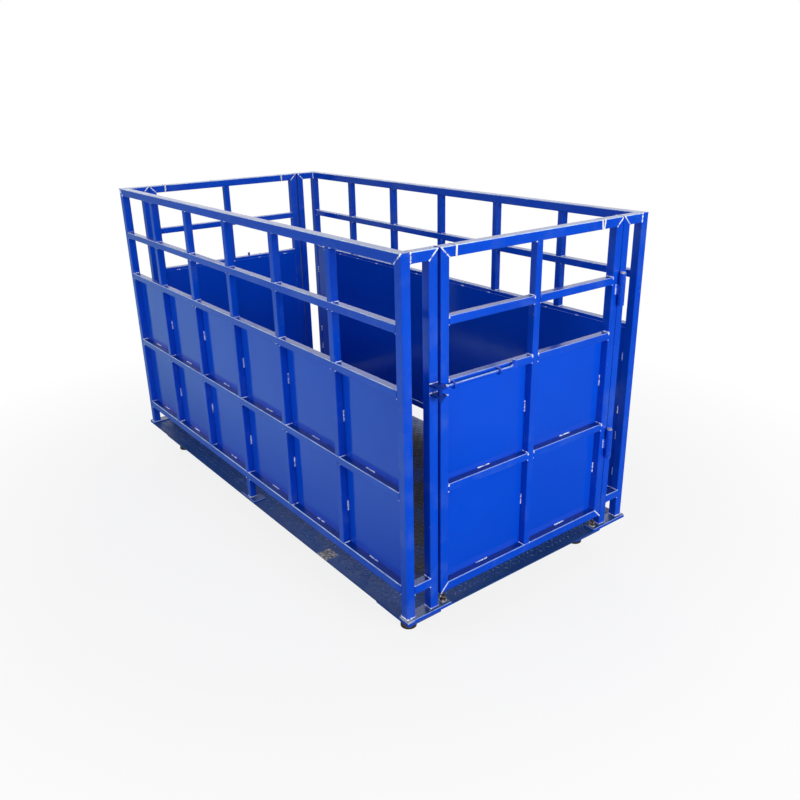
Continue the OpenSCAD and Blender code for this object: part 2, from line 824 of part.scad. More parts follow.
deck_plate();
platform_long_beams();
platform_cross_beams();
load_cell_housings();
load_cell_blocks();
load_cells();
load_cell_bolts();
foot_screws();
foot_locknuts();
foot_pads();
foot_soles();
junction_box();
junction_box_lid();
junction_box_screws();
cable_glands();
base_plates();
hold_down_bolts();
hold_down_washers();
hold_down_nuts();
mid_feet();
left_corner_posts();
left_top_rail();
left_rails();
left_bottom_rail();
left_uprights();
left_sheet();
right_corner_posts();
right_top_rail();
right_rails();
right_bottom_rail();
right_uprights();
right_sheet();
front_jambs();
front_stub_rails();
front_jamb_knuckles();
front_hinge_pins();
front_keeper_lugs();
front_keeper_bolt();
front_door_stiles();
front_door_end_rails();
front_door_upright();
front_door_rails();
front_door_sheet();
front_door_knuckles();
front_bolt_guides();
front_slide_bolt();
rear_jambs();
rear_stub_rails();
rear_jamb_knuckles();
rear_hinge_pins();
rear_keeper_lugs();
rear_keeper_bolt();
rear_door_stiles();
rear_door_end_rails();
rear_door_upright();
rear_door_rails();
rear_door_sheet();
rear_door_knuckles();
rear_bolt_guides();
rear_slide_bolt();
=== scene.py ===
from math import cos, pi, radians, sin

import bmesh
import bpy
from mathutils import Matrix, Vector


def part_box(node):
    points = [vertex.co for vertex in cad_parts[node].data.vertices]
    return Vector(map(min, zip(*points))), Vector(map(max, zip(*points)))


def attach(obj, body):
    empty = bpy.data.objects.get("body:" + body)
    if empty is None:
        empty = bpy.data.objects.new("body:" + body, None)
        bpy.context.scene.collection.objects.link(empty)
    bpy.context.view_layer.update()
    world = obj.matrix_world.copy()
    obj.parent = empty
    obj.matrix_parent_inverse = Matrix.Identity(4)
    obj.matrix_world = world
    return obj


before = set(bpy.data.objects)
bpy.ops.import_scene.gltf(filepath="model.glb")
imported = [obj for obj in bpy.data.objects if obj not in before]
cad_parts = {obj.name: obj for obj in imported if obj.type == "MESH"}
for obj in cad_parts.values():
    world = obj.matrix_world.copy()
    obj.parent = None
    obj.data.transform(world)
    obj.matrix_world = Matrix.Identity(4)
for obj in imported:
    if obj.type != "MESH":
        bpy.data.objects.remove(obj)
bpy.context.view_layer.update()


# Deck: one chequer plate of 5 mm steel, painted dark blue and nearly black in patches over the floor between
# the sides.
# The raised lugs are rolled into the plate, so they share its paint; their crests show rubbed paint and a
# painted highlight.
DECK_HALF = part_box("deck_plate")[1]
DECK_TOP = DECK_HALF.z
RIM_DEPTHS = (0.0012, 0.0002)
RIM_BY_POSTS = (0.325, 0.335)
RIM_BY_ENDS = (0.945, 0.955)
LUG_CRESTS = (0.0007, 0.0015)
INSIDE_FLOOR_LENGTH = (0.97, 0.80)
INSIDE_FLOOR_WIDTH = (0.46, 0.36)
DRAG_X = (0.500, 0.562)
DRAG_Y = -0.448
LUG_HALF = Vector((0.0108, 0.0028, 0.0018))
LUG_SUNK = 0.0002
LUG_PITCH = 0.020
LUG_CELLS = (49, 24)
DECK_NAVY = (0.006, 0.036, 0.165, 1.0)
DECK_NAVY_LIGHT = (0.014, 0.064, 0.235, 1.0)
DECK_DARK_INSIDE = (0.009, 0.010, 0.012, 1.0)
SCRAPED_STEEL = (0.10, 0.10, 0.12, 1.0)
SCRAPED_BRIGHT = (0.56, 0.53, 0.50, 1.0)
DECK_RIM = (0.003, 0.060, 0.500, 1.0)
LUG_CREST_RUB_AND_HIGHLIGHT = (0.20, 0.34, 0.62, 1.0)


def new_finish(name):
    finish = bpy.data.materials.new(name)
    finish.use_nodes = True
    nodes = finish.node_tree.nodes
    shader = nodes["Principled BSDF"]
    place = nodes.new("ShaderNodeTexCoord")
    return finish, nodes, finish.node_tree.links, shader, place.outputs["Object"]


def grain(nodes, links, place, scale, detail=3.0, roughness=0.55, stretch=None):
    noise = nodes.new("ShaderNodeTexNoise")
    noise.inputs["Scale"].default_value = scale
    noise.inputs["Detail"].default_value = detail
    noise.inputs["Roughness"].default_value = roughness
    if stretch is None:
        links.new(place, noise.inputs["Vector"])
    else:
        turn = nodes.new("ShaderNodeMapping")
        turn.inputs["Scale"].default_value = stretch
        links.new(place, turn.inputs["Vector"])
        links.new(turn.outputs["Vector"], noise.inputs["Vector"])
    return noise.outputs["Fac"]


def span(nodes, links, value, low, high, out_low=0.0, out_high=1.0):
    ramp = nodes.new("ShaderNodeMapRange")
    ramp.inputs["From Min"].default_value = low
    ramp.inputs["From Max"].default_value = high
    ramp.inputs["To Min"].default_value = out_low
    ramp.inputs["To Max"].default_value = out_high
    links.new(value, ramp.inputs["Value"])
    return ramp.outputs["Result"]


def times(nodes, links, a, b):
    product = nodes.new("ShaderNodeMath")
    product.operation = "MULTIPLY"
    links.new(a, product.inputs[0])
    links.new(b, product.inputs[1])
    return product.outputs["Value"]


def blend_colours(nodes, links, share, under, over):
    mix = nodes.new("ShaderNodeMix")
    mix.data_type = "RGBA"
    links.new(share, mix.inputs["Factor"])
    for socket, colour in ((mix.inputs[6], under), (mix.inputs[7], over)):
        if isinstance(colour, tuple):
            socket.default_value = colour
        else:
            links.new(colour, socket)
    return mix.outputs[2]


def uneven_gloss(nodes, links, place, shader, scale, smooth, rough, detail=3.0):
    patches = grain(nodes, links, place, scale, detail)
    links.new(span(nodes, links, patches, 0.3, 0.7, smooth, rough), shader.inputs["Roughness"])


def relief(nodes, links, shader, height, strength, distance):
    bump = nodes.new("ShaderNodeBump")
    bump.inputs["Strength"].default_value = strength
    bump.inputs["Distance"].default_value = distance
    links.new(height, bump.inputs["Height"])
    links.new(bump.outputs["Normal"], shader.inputs["Normal"])


def axes_of(nodes, links, place):
    split = nodes.new("ShaderNodeSeparateXYZ")
    links.new(place, split.inputs["Vector"])
    return split.outputs


def from_middle(nodes, links, along):
    apart = nodes.new("ShaderNodeMath")
    apart.operation = "ABSOLUTE"
    links.new(along, apart.inputs[0])
    return apart.outputs["Value"]


def dress(finish, *names):
    for name in names:
        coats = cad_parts[name].data.materials
        coats.clear()
        coats.append(finish)


def finished_piece(name, bm, finish, body):
    mesh = bpy.data.meshes.new(name)
    bm.to_mesh(mesh)
    bm.free()
    mesh.materials.append(finish)
    piece = bpy.data.objects.new(name, mesh)
    bpy.context.scene.collection.objects.link(piece)
    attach(piece, body)
    return piece


deck_paint, nodes, links, shader, place = new_finish("deck_paint")
axes = axes_of(nodes, links, place)
tone = blend_colours(nodes, links, grain(nodes, links, place, 7.0), DECK_NAVY, DECK_NAVY_LIGHT)
in_length = from_middle(nodes, links, axes["X"])
in_width = from_middle(nodes, links, axes["Y"])
# Nearly black in patches over the floor between the sides.
inside_floor = times(nodes, links, span(nodes, links, in_length, *INSIDE_FLOOR_LENGTH),
                span(nodes, links, in_width, *INSIDE_FLOOR_WIDTH))
patchy = span(nodes, links, grain(nodes, links, place, 5.0, 5.0), 0.30, 0.58)
tone = blend_colours(nodes, links, times(nodes, links, inside_floor, patchy), tone, DECK_DARK_INSIDE)
# Lug crests: rubbed paint and a painted highlight, weaker over the floor between the sides.
crest = span(nodes, links, axes["Z"], *[DECK_TOP + rise for rise in LUG_CRESTS])
rub_and_highlight = span(nodes, links, grain(nodes, links, place, 45.0, 4.0), 0.44, 0.60, 0.0, 0.70)
rub_and_highlight = times(nodes, links, rub_and_highlight, span(nodes, links, inside_floor, 0.0, 1.0, 1.0, 0.30))
tone = blend_colours(nodes, links, times(nodes, links, crest, rub_and_highlight), tone, LUG_CREST_RUB_AND_HIGHLIGHT)
drag_from = span(nodes, links, axes["X"], DRAG_X[0], DRAG_X[0] + 0.005)
drag_to = span(nodes, links, axes["X"], DRAG_X[1], DRAG_X[1] - 0.006)
drag_side = span(nodes, links, axes["Y"], DRAG_Y, DRAG_Y - 0.008, 0.0, 0.9)
drag = times(nodes, links, times(nodes, links, drag_from, drag_to), drag_side)
gouges = span(nodes, links, grain(nodes, links, place, 130.0, 4.0), 0.46, 0.60)
scraped = blend_colours(nodes, links, gouges, SCRAPED_STEEL, SCRAPED_BRIGHT)
tone = blend_colours(nodes, links, drag, tone, scraped)
end_rim = span(nodes, links, in_length, *[DECK_HALF.x - depth for depth in RIM_DEPTHS])
long_rim = span(nodes, links, in_width, *[DECK_HALF.y - depth for depth in RIM_DEPTHS])
by_posts = span(nodes, links, in_width, *RIM_BY_POSTS)
by_ends = span(nodes, links, in_length, *RIM_BY_ENDS)
tone = blend_colours(nodes, links, times(nodes, links, end_rim, by_posts), tone, DECK_RIM)
tone = blend_colours(nodes, links, times(nodes, links, long_rim, by_ends), tone, DECK_RIM)
links.new(tone, shader.inputs["Base Color"])
uneven_gloss(nodes, links, place, shader, 18.0, 0.30, 0.52, 4.0)
shader.inputs["Specular IOR Level"].default_value = 0.18
relief(nodes, links, shader, grain(nodes, links, place, 240.0, 2.0), 0.12, 0.0006)
dress(deck_paint, "deck_plate")

bm = bmesh.new()
for column in (0, 1):
    for row in (0, 1):
        lean = radians(45.0 if (column + row) % 2 else -45.0)
        seat = Vector((
            LUG_PITCH * (column + 0.5 - LUG_CELLS[0]),
            LUG_PITCH * (row + 0.5 - LUG_CELLS[1]),
            DECK_TOP - LUG_SUNK,
        ))
        lie = Matrix.Translation(seat) @ Matrix.Rotation(lean, 4, "Z")
        bmesh.ops.create_uvsphere(
            bm, u_segments=8, v_segments=4, radius=1.0, matrix=lie @ Matrix.Diagonal((*LUG_HALF, 1.0)),
        )
bmesh.ops.bisect_plane(
    bm, geom=bm.verts[:] + bm.edges[:] + bm.faces[:], dist=1e-6,
    plane_co=(0, 0, DECK_TOP - LUG_SUNK), plane_no=(0, 0, 1), clear_inner=True,
)
for face in bm.faces:
    face.smooth = True
bmesh.ops.holes_fill(bm, edges=bm.edges[:], sides=0)
bmesh.ops.recalc_face_normals(bm, faces=bm.faces[:])
deck_lugs = finished_piece("deck_lugs", bm, deck_paint, "crate")
for count, step in ((LUG_CELLS[0], (2 * LUG_PITCH, 0, 0)), (LUG_CELLS[1], (0, 2 * LUG_PITCH, 0))):
    rows = deck_lugs.modifiers.new("rolled_rows", "ARRAY")
    rows.use_relative_offset = False
    rows.use_constant_offset = True
    rows.count = count
    rows.constant_offset_displace = step


# Platform frame: rectangular steel tube welded under the deck, with a plate box at each
# corner for its load cell. Brushed with the same blue enamel, dusty because it faces the ground.
FRAME_BLUE = (0.006, 0.062, 0.50, 1.0)
FRAME_BLUE_DEEP = (0.004, 0.040, 0.36, 1.0)
GROUND_DUST = (0.10, 0.10, 0.11, 1.0)
DUST_RISES = (0.115, 0.055)

platform_paint, nodes, links, shader, place = new_finish("platform_paint")
axes = axes_of(nodes, links, place)
tone = blend_colours(nodes, links, grain(nodes, links, place, 4.0), FRAME_BLUE, FRAME_BLUE_DEEP)
low = span(nodes, links, axes["Z"], *DUST_RISES, 0.05, 0.45)
dusty = span(nodes, links, grain(nodes, links, place, 22.0, 5.0), 0.42, 0.62)
tone = blend_colours(nodes, links, times(nodes, links, low, dusty), tone, GROUND_DUST)
links.new(tone, shader.inputs["Base Color"])
uneven_gloss(nodes, links, place, shader, 14.0, 0.26, 0.46, 4.0)
shader.inputs["Coat Weight"].default_value = 0.2
shader.inputs["Coat Roughness"].default_value = 0.15
relief(nodes, links, shader, grain(nodes, links, place, 300.0, 2.0), 0.10, 0.0004)
dress(platform_paint, "platform_long_beams", "platform_cross_beams")
dress(platform_paint, "load_cell_housings", "load_cell_blocks")


# Load cells and their bolts: milled and nickel plated shear beams, hung from tapped blocks
# by two plated bolts each.
CELL_NICKEL = (0.52, 0.53, 0.54, 1.0)
CELL_NICKEL_DULL = (0.40, 0.41, 0.42, 1.0)
ZINC_PALE = (0.58, 0.54, 0.44, 1.0)
ZINC_BRASSY = (0.42, 0.33, 0.17, 1.0)
ZINC_DARK = (0.07, 0.06, 0.05, 1.0)

cell_metal, nodes, links, shader, place = new_finish("cell_metal")
milling = grain(nodes, links, place, 90.0, 3.0, 0.5, (0.06, 1.0, 1.0))
links.new(blend_colours(nodes, links, milling, CELL_NICKEL, CELL_NICKEL_DULL), shader.inputs["Base Color"])
links.new(span(nodes, links, milling, 0.3, 0.7, 0.24, 0.40), shader.inputs["Roughness"])
shader.inputs["Metallic"].default_value = 1.0
relief(nodes, links, shader, milling, 0.08, 0.0003)
dress(cell_metal, "load_cells")

bolt_zinc, nodes, links, shader, place = new_finish("bolt_zinc")
flow = grain(nodes, links, place, 120.0, 4.0)
tone = blend_colours(nodes, links, span(nodes, links, flow, 0.35, 0.62), ZINC_PALE, ZINC_BRASSY)
stain = span(nodes, links, grain(nodes, links, place, 210.0, 5.0), 0.55, 0.68, 0.0, 0.8)
links.new(blend_colours(nodes, links, stain, tone, ZINC_DARK), shader.inputs["Base Color"])
links.new(span(nodes, links, flow, 0.3, 0.7, 0.22, 0.42), shader.inputs["Roughness"])
shader.inputs["Metallic"].default_value = 1.0
relief(nodes, links, shader, grain(nodes, links, place, 500.0, 2.0), 0.08, 0.0002)
dress(bolt_zinc, "load_cell_bolts", "foot_screws", "foot_locknuts", "junction_box_screws")


# Levelling feet: a cast iron pad that swivels on its screw, with a rubber sole stuck under it.
# The blackened casting has started to rust and the rubber holds dust.
IRON_BLACK = (0.020, 0.018, 0.017, 1.0)
IRON_RUST = (0.085, 0.045, 0.028, 1.0)
RUBBER_BLACK = (0.012, 0.012, 0.012, 1.0)
RUBBER_DUSTY = (0.050, 0.046, 0.042, 1.0)

foot_casting, nodes, links, shader, place = new_finish("foot_casting")
sand = grain(nodes, links, place, 160.0, 4.0)
rusty = span(nodes, links, grain(nodes, links, place, 45.0, 4.0), 0.48, 0.64, 0.0, 0.8)
links.new(blend_colours(nodes, links, rusty, IRON_BLACK, IRON_RUST), shader.inputs["Base Color"])
links.new(span(nodes, links, sand, 0.3, 0.7, 0.45, 0.7), shader.inputs["Roughness"])
relief(nodes, links, shader, sand, 0.3, 0.0006)
dress(foot_casting, "foot_pads")

sole_rubber, nodes, links, shader, place = new_finish("sole_rubber")
dust = span(nodes, links, grain(nodes, links, place, 70.0, 5.0), 0.40, 0.68, 0.0, 0.9)
links.new(blend_colours(nodes, links, dust, RUBBER_BLACK, RUBBER_DUSTY), shader.inputs["Base Color"])
links.new(span(nodes, links, dust, 0.0, 1.0, 0.55, 0.85), shader.inputs["Roughness"])
relief(nodes, links, shader, grain(nodes, links, place, 400.0, 2.0), 0.15, 0.0003)
dress(sole_rubber, "foot_soles")


# Junction box: a moulded plastic case with a screwed lid and empty cable glands, glued up
# under the deck between two cross beams.
CASE_GREY = (0.36, 0.37, 0.38, 1.0)
CASE_GREY_DARK = (0.28, 0.29, 0.30, 1.0)
GLAND_BLACK = (0.018, 0.018, 0.019, 1.0)
GLAND_GREY = (0.040, 0.040, 0.042, 1.0)

case_plastic, nodes, links, shader, place = new_finish("case_plastic")
links.new(blend_colours(nodes, links, grain(nodes, links, place, 12.0), CASE_GREY, CASE_GREY_DARK),
          shader.inputs["Base Color"])
uneven_gloss(nodes, links, place, shader, 40.0, 0.42, 0.58)
relief(nodes, links, shader, grain(nodes, links, place, 900.0, 1.0), 0.2, 0.0002)
dress(case_plastic, "junction_box", "junction_box_lid")

gland_plastic, nodes, links, shader, place = new_finish("gland_plastic")
links.new(blend_colours(nodes, links, grain(nodes, links, place, 60.0), GLAND_BLACK, GLAND_GREY),
          shader.inputs["Base Color"])
uneven_gloss(nodes, links, place, shader, 90.0, 0.35, 0.55)
dress(gland_plastic, "cable_glands")


# Side frames: square steel tube, posts mitred into the top rail and the rest cut square,
# all welded and sprayed with a thick glossy blue enamel.
SPRAY_BLUE = (0.0016, 0.068, 0.610, 1.0)
SPRAY_BLUE_DEEP = (0.0012, 0.054, 0.530, 1.0)
SPRAY_CHALKY = (0.050, 0.125, 0.560, 1.0)
HANDLING_PALE = (0.42, 0.50, 0.68, 1.0)
ARRIS_HIGHLIGHT = (0.58, 0.80, 1.00, 1.0)
TOP_DUST = (0.10, 0.115, 0.14, 1.0)
LEDGE_SHADE = (0.0006, 0.032, 0.240, 1.0)
LEDGES_BELOW = 0.80
TOP_RAILS_FROM = 1.170
ENDS_FROM = (0.940, 0.950)
FACING_UP = (0.97, 0.995)
SIDE_TUBES = ("corner_posts", "top_rail", "rails", "bottom_rail", "uprights")

tube_enamel, nodes, links, shader, place = new_finish("tube_enamel")
axes = axes_of(nodes, links, place)
tone = blend_colours(nodes, links, span(nodes, links, grain(nodes, links, place, 2.6, 4.0), 0.32, 0.68),
                     SPRAY_BLUE, SPRAY_BLUE_DEEP)
haze = span(nodes, links, grain(nodes, links, place, 9.0, 5.0, 0.6), 0.52, 0.74, 0.0, 0.45)
tone = blend_colours(nodes, links, haze, tone, SPRAY_CHALKY)
scratch = span(nodes, links, grain(nodes, links, place, 55.0, 6.0, 0.7), 0.69, 0.74, 0.0, 0.7)
tone = blend_colours(nodes, links, scratch, tone, HANDLING_PALE)
skin = nodes.new("ShaderNodeNewGeometry")
upward = axes_of(nodes, links, skin.outputs["True Normal"])["Z"]
settled = times(nodes, links, span(nodes, links, upward, *FACING_UP, 0.0, 0.14),
                span(nodes, links, grain(nodes, links, place, 8.0, 5.0), 0.3, 0.6, 0.3, 1.0))
tone = blend_colours(nodes, links, settled, tone, TOP_DUST)
# Painted shade: upward faces low on the frames, in front of the sheets, are darker blue in patches.
sheltered = span(nodes, links, axes["Z"], LEDGES_BELOW, LEDGES_BELOW - 0.02)
shaded_ledge = times(nodes, links, span(nodes, links, upward, *FACING_UP), sheltered)
ledge_shade_share = span(nodes, links, grain(nodes, links, place, 16.0, 4.0), 0.30, 0.60, 0.70, 0.95)
tone = blend_colours(nodes, links, times(nodes, links, shaded_ledge, ledge_shade_share), tone, LEDGE_SHADE)
# Painted highlight: a pale line along the upper arrises of the tubes, weaker at the ends below the top
# rails.
arris_highlight = times(nodes, links, span(nodes, links, upward, 0.10, 0.35), span(nodes, links, upward, 0.985, 0.95))
highlight_share = span(nodes, links, grain(nodes, links, place, 14.0, 5.0), 0.30, 0.60, 0.35, 0.95)
in_length = from_middle(nodes, links, axes["X"])
at_end = times(nodes, links, span(nodes, links, in_length, *ENDS_FROM),
               span(nodes, links, axes["Z"], TOP_RAILS_FROM, TOP_RAILS_FROM - 0.010))
highlight_share = times(nodes, links, highlight_share, span(nodes, links, at_end, 0.0, 1.0, 1.0, 0.38))
tone = blend_colours(nodes, links, times(nodes, links, arris_highlight, highlight_share), tone, ARRIS_HIGHLIGHT)
links.new(tone, shader.inputs["Base Color"])
uneven_gloss(nodes, links, place, shader, 11.0, 0.10, 0.24, 4.0)
relief(nodes, links, shader, grain(nodes, links, place, 150.0, 3.0), 0.12, 0.0005)
for side in ("left", "right"):
    dress(tube_enamel, *[f"{side}_{part}" for part in SIDE_TUBES])
dress(tube_enamel, "mid_feet")


# Base plates: flame cut plates under the posts and middle feet, welded to them and bolted
# through the deck at their inner ends. Their tops are painted darker as shade and their upper edges carry a
# painted highlight.
CHIP_STEEL = (0.50, 0.52, 0.55, 1.0)
PLATE_TOP_SHADE = (0.018, 0.052, 0.190, 1.0)
DULL_STEEL = (0.060, 0.050, 0.040, 1.0)
RUSTED_STEEL = (0.120, 0.070, 0.040, 1.0)
PALE_ZINC = (0.78, 0.78, 0.74, 1.0)
PALE_ZINC_DULL = (0.50, 0.49, 0.46, 1.0)
PLATE_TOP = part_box("base_plates")[1].z
PLATE_EDGE_DEPTHS = (0.0024, 0.0018)
PLATE_FACE_DEPTHS = (0.0004, 0.0001)
KICKED_CORNER = (0.985, -0.500, 0.130)
KICK_REACH = (0.034, 0.016)

plate_enamel, nodes, links, shader, place = new_finish("plate_enamel")
tone = blend_colours(nodes, links, grain(nodes, links, place, 6.0, 4.0), SPRAY_BLUE, SPRAY_BLUE_DEEP)
chips = span(nodes, links, grain(nodes, links, place, 38.0, 6.0, 0.7), 0.63, 0.68, 0.0, 0.8)
links.new(blend_colours(nodes, links, chips, tone, CHIP_STEEL), shader.inputs["Base Color"])
uneven_gloss(nodes, links, place, shader, 20.0, 0.14, 0.30, 4.0)
relief(nodes, links, shader, grain(nodes, links, place, 180.0, 3.0), 0.2, 0.0005)

foot_enamel, nodes, links, shader, place = new_finish("foot_enamel")
axes = axes_of(nodes, links, place)
tone = blend_colours(nodes, links, grain(nodes, links, place, 6.0, 4.0), SPRAY_BLUE, SPRAY_BLUE_DEEP)
edge_zs = [PLATE_TOP - depth for depth in PLATE_EDGE_DEPTHS]
edge_highlight = span(nodes, links, axes["Z"], *edge_zs, 0.0, 0.6)
tone = blend_colours(nodes, links, edge_highlight, tone, ARRIS_HIGHLIGHT)
face_zs = [PLATE_TOP - depth for depth in PLATE_FACE_DEPTHS]
shaded_top = span(nodes, links, axes["Z"], *face_zs, 0.0, 0.96)
tone = blend_colours(nodes, links, shaded_top, tone, PLATE_TOP_SHADE)
chips = span(nodes, links, grain(nodes, links, place, 38.0, 6.0, 0.7), 0.62, 0.67, 0.0, 0.8)
tone = blend_colours(nodes, links, chips, tone, CHIP_STEEL)
kicked = nodes.new("ShaderNodeVectorMath")
kicked.operation = "DISTANCE"
links.new(place, kicked.inputs[0])
kicked.inputs[1].default_value = KICKED_CORNER
kick = times(nodes, links, span(nodes, links, kicked.outputs["Value"], *KICK_REACH),
             span(nodes, links, grain(nodes, links, place, 90.0, 5.0), 0.34, 0.56, 0.25, 0.95))
links.new(blend_colours(nodes, links, kick, tone, CHIP_STEEL), shader.inputs["Base Color"])
uneven_gloss(nodes, links, place, shader, 20.0, 0.20, 0.38, 4.0)
relief(nodes, links, shader, grain(nodes, links, place, 180.0, 3.0), 0.2, 0.0005)
dress(foot_enamel, "base_plates")

dull_bolt, nodes, links, shader, place = new_finish("dull_bolt")
tone = blend_colours(nodes, links, grain(nodes, links, place, 140.0, 4.0), DULL_STEEL, RUSTED_STEEL)
glint = span(nodes, links, grain(nodes, links, place, 120.0, 3.0), 0.50, 0.58, 0.0, 0.9)
links.new(blend_colours(nodes, links, glint, tone, PALE_ZINC), shader.inputs["Base Color"])
uneven_gloss(nodes, links, place, shader, 90.0, 0.28, 0.45)
shader.inputs["Metallic"].default_value = 0.7
relief(nodes, links, shader, grain(nodes, links, place, 500.0, 2.0), 0.08, 0.0002)
dress(dull_bolt, "hold_down_bolts", "hold_down_nuts")

pale_zinc, nodes, links, shader, place = new_finish("pale_zinc")
links.new(blend_colours(nodes, links, grain(nodes, links, place, 150.0, 4.0), PALE_ZINC, PALE_ZINC_DULL),
          shader.inputs["Base Color"])
uneven_gloss(nodes, links, place, shader, 90.0, 0.30, 0.48)
shader.inputs["Metallic"].default_value = 0.5
relief(nodes, links, shader, grain(nodes, links, place, 500.0, 2.0), 0.08, 0.0002)
dress(pale_zinc, "hold_down_washers")


# Side sheets: 2 mm sheet behind the rails, sprayed with the tubes. Welding has drawn it, so
# it is slightly wavy and mirrors the ground unevenly.
SHEET_BLUE = (0.0016, 0.068, 0.620, 1.0)
SHEET_BLUE_DEEP = (0.0012, 0.060, 0.570, 1.0)

sheet_enamel, nodes, links, shader, place = new_finish("sheet_enamel")
tone = blend_colours(nodes, links, span(nodes, links, grain(nodes, links, place, 1.7, 3.0), 0.34, 0.66),
                     SHEET_BLUE, SHEET_BLUE_DEEP)
scratch = span(nodes, links, grain(nodes, links, place, 48.0, 6.0, 0.72), 0.71, 0.76, 0.0, 0.5)
tone = blend_colours(nodes, links, scratch, tone, HANDLING_PALE)
skin = nodes.new("ShaderNodeNewGeometry")
# Painted highlight: the sheets' upward cut edges are pale blue in patches.
cut_edge = span(nodes, links, axes_of(nodes, links, skin.outputs["True Normal"])["Z"], 0.8, 0.9)
cut_edge_highlight_share = span(nodes, links, grain(nodes, links, place, 12.0, 5.0), 0.35, 0.60, 0.3, 1.0)
tone = blend_colours(nodes, links, times(nodes, links, cut_edge, cut_edge_highlight_share), tone, ARRIS_HIGHLIGHT)
links.new(tone, shader.inputs["Base Color"])
uneven_gloss(nodes, links, place, shader, 5.0, 0.07, 0.17, 4.0)
relief(nodes, links, shader, grain(nodes, links, place, 4.5, 2.0), 0.35, 0.006)
dress(sheet_enamel, "left_sheet", "right_sheet")


# Ends: door jambs with short stub rails to the corner posts, hinge knuckles turned from bar,
# and the keeper lugs with a bolt across their tips.
KEEPER_SHADE_NAVY = (0.0010, 0.014, 0.140, 1.0)
KEEPER_SHADE_BLUE = (0.0016, 0.045, 0.420, 1.0)

# The keeper lugs and their bolt are painted a darker navy as shade.
keeper_shade_enamel, nodes, links, shader, place = new_finish("keeper_shade_enamel")
links.new(blend_colours(nodes, links, grain(nodes, links, place, 60.0, 4.0), KEEPER_SHADE_NAVY, KEEPER_SHADE_BLUE),
          shader.inputs["Base Color"])
uneven_gloss(nodes, links, place, shader, 70.0, 0.08, 0.18)
relief(nodes, links, shader, grain(nodes, links, place, 160.0, 3.0), 0.5, 0.0010)

for end in ("front", "rear"):
    dress(tube_enamel, f"{end}_jambs", f"{end}_stub_rails")
    dress(plate_enamel, f"{end}_jamb_knuckles")
    dress(pale_zinc, f"{end}_hinge_pins")
    dress(keeper_shade_enamel, f"{end}_keeper_lugs", f"{end}_keeper_bolt")


# Doors: mitred tube frames with a middle upright, cut rails and a sheet behind the lower half.
# They are sprayed with the crate, hinges and guides included.
DOOR_TUBES = ("stiles", "end_rails", "upright", "rails")

for end in ("front", "rear"):
    dress(tube_enamel, *[f"{end}_door_{part}" for part in DOOR_TUBES])
    dress(sheet_enamel, f"{end}_door_sheet")
    dress(plate_enamel, f"{end}_door_knuckles", f"{end}_bolt_guides")


# Slide bolts: round steel bar with its end bent up for a handle, run through two wire guides.
# It is painted with the door, with a pale painted highlight along its top.
ROD_HIGHLIGHT = (0.34, 0.56, 0.95, 1.0)

rod_enamel, nodes, links, shader, place = new_finish("rod_enamel")
tone = blend_colours(nodes, links, grain(nodes, links, place, 6.0, 4.0), SPRAY_BLUE, SPRAY_BLUE_DEEP)
skin = nodes.new("ShaderNodeNewGeometry")
upward = axes_of(nodes, links, skin.outputs["Normal"])["Z"]
# Painted highlight along the rod's upper side.
rub_and_highlight = times(nodes, links, span(nodes, links, upward, 0.45, 0.85),
               span(nodes, links, grain(nodes, links, place, 40.0, 5.0), 0.30, 0.55, 0.35, 0.95))
links.new(blend_colours(nodes, links, rub_and_highlight, tone, ROD_HIGHLIGHT), shader.inputs["Base Color"])
uneven_gloss(nodes, links, place, shader, 20.0, 0.10, 0.22, 4.0)
relief(nodes, links, shader, grain(nodes, links, place, 180.0, 3.0), 0.2, 0.0005)
dress(rod_enamel, "front_slide_bolt", "rear_slide_bolt")


# Weld beads of the crate: short runs with a rippled crown at every tube end, along the mitres
# Their crowns carry pale painted glints in patches.
BEAD_GLINT = (0.86, 0.94, 1.00, 1.0)
RIPPLE_STEP = 0.0046
RIPPLE_HALF = (0.0034, 0.0026, 0.0024)
SIDE_FACE = abs(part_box("left_corner_posts")[0].y)
END_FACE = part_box("front_jambs")[1].x
POST = 0.030
RAIL = 0.025
FRAME_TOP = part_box("left_corner_posts")[1].z
JAMB_IN = 0.374
STUB_OUT = SIDE_FACE - POST
RAIL_ZS = (PLATE_TOP + 0.88275, PLATE_TOP + 0.703, PLATE_TOP + 0.39825)
BOTTOM_RAIL = (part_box("left_bottom_rail")[0].z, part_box("left_bottom_rail")[1].z)
BAY = 0.32433
UPRIGHT_XS = [BAY * number for number in (-2, -1, 0, 1, 2)]
BAY_XS = [BAY * (number + 0.5) for number in range(-3, 3)]
STITCH_LIFT = 0.0016
STITCH_DRIFT = 0.02
INSIDE_LIFT = 0.0012
LIP_SINK = 0.0006
LEDGE_STITCH = 0.022
SHORT_STITCH = 0.018
UPRIGHT_STITCH_ZS = (0.385, 0.690)
UPRIGHT_STITCH_DRIFT = 0.015
POST_STITCH = 0.014
POST_STITCH_ZS = (0.30, 0.43, 0.56, 0.72)
LIP_DOT = 0.007
LIP_DOT_STEP = 0.15
KEEPER_PLATE = 0.006
KEEPER_SEAM_PAST = 0.002
KEEPER_TIP_SEAM = (0.010, 0.002)
KNUCKLE_HALF = 0.017
KNUCKLE_STEP = 0.0345
KNUCKLE_BEAD = 0.016

bead_enamel, nodes, links, shader, place = new_finish("bead_enamel")
tone = blend_colours(nodes, links, grain(nodes, links, place, 40.0, 4.0), SPRAY_BLUE, SPRAY_CHALKY)
